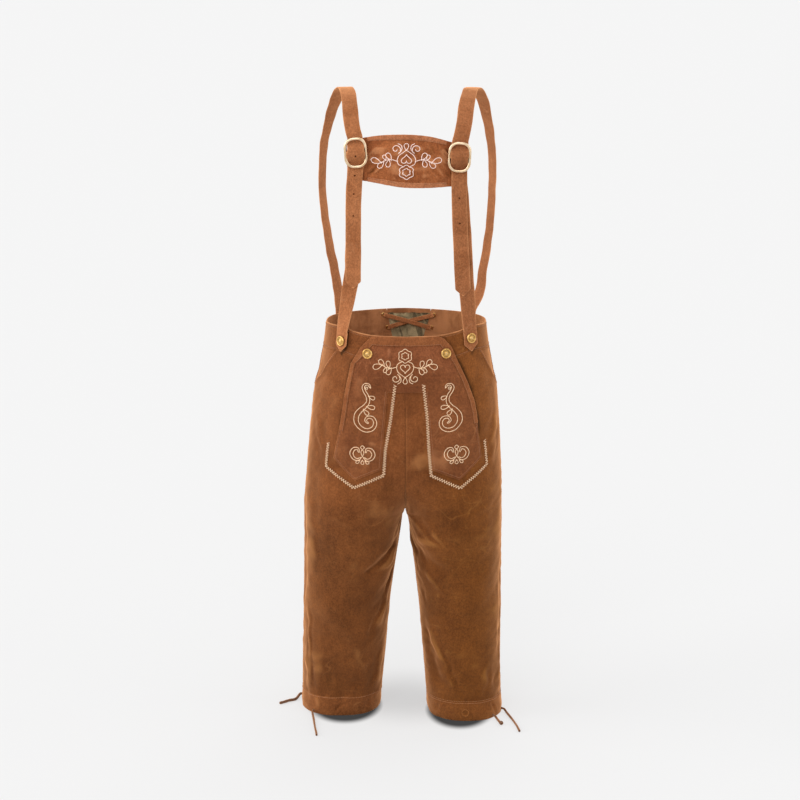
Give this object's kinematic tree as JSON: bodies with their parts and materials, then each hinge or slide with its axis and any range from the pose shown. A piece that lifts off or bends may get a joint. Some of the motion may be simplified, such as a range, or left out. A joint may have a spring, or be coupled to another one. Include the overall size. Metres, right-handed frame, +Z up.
{
  "type": "lederhosen",
  "caption": "Knee-length suede lederhosen with a drop front, H-shaped braces with buckles and a chest piece, and laced knee bands.",
  "frame": {"origin": "between the wearer's shoulders, level with the top of the two braces, where the wearer holds the garment up", "axes": "+Z up, -Y the garment's front, +X the wearer's left"},
  "size_m": [0.4645, 0.2912, 1.1997],
  "materials": {
    "suede_trousers": "matt rust-brown suede with a soft nap",
    "suede_drop_front": "matt rust-brown suede with stitched ornament",
    "suede_brace": "lighter matt suede",
    "suede_chest_piece": "lighter matt suede with stitched ornament",
    "gusset_cloth": "grey-olive woven cloth",
    "lace_leather": "flat suede lace",
    "horn_button": "engraved yellow horn look",
    "brass_buckle": "polished pale gold",
    "brass_eyelet": "polished"
  },
  "bodies": {
    "root": {"back_gusset": "gusset_cloth", "back_gusset_band": "suede_trousers", "back_lace_over": "lace_leather", "back_lace_under": "lace_leather", "back_panel_left": "suede_trousers", "back_panel_right": "suede_trousers", "buckle_left": "brass_buckle", "buckle_right": "brass_buckle", "chest_border_lower": "suede_chest_piece", "chest_border_upper": "suede_chest_piece", "chest_piece": "suede_chest_piece", "cuff_left": "suede_trousers", "cuff_right": "suede_trousers", "cuff_snap": "suede_trousers", "drop_front": "suede_drop_front", "drop_front_button_left": "horn_button", "drop_front_button_right": "horn_button", "drop_front_edging": "suede_drop_front", "eyelet_lower_left_inside": "brass_eyelet", "eyelet_lower_left_outside": "brass_eyelet", "eyelet_lower_right_inside": "brass_eyelet", "eyelet_lower_right_outside": "brass_eyelet", "eyelet_upper_left_inside": "brass_eyelet", "eyelet_upper_left_outside": "brass_eyelet", "eyelet_upper_right_inside": "brass_eyelet", "eyelet_upper_right_outside": "brass_eyelet", "front_panel_left": "suede_trousers", "front_panel_right": "suede_trousers", "front_strap_left": "suede_brace", "front_strap_right": "suede_brace", "knee_lace_knot": "lace_leather", "knee_lace_left_back": "lace_leather", "knee_lace_left_front": "lace_leather", "knee_lace_right_back": "lace_leather", "knee_lace_right_front": "lace_leather", "pocket_facing_left": "suede_trousers", "pocket_facing_right": "suede_trousers", "shoulder_strap_left": "suede_brace", "shoulder_strap_right": "suede_brace", "tab_button_back_left": "horn_button", "tab_button_back_right": "horn_button", "tab_button_front_left": "horn_button", "tab_button_front_right": "horn_button", "waistband_back_left": "suede_trousers", "waistband_back_right": "suede_trousers", "waistband_front_left": "suede_trousers", "waistband_front_right": "suede_trousers"}
  },
  "joints": []
}
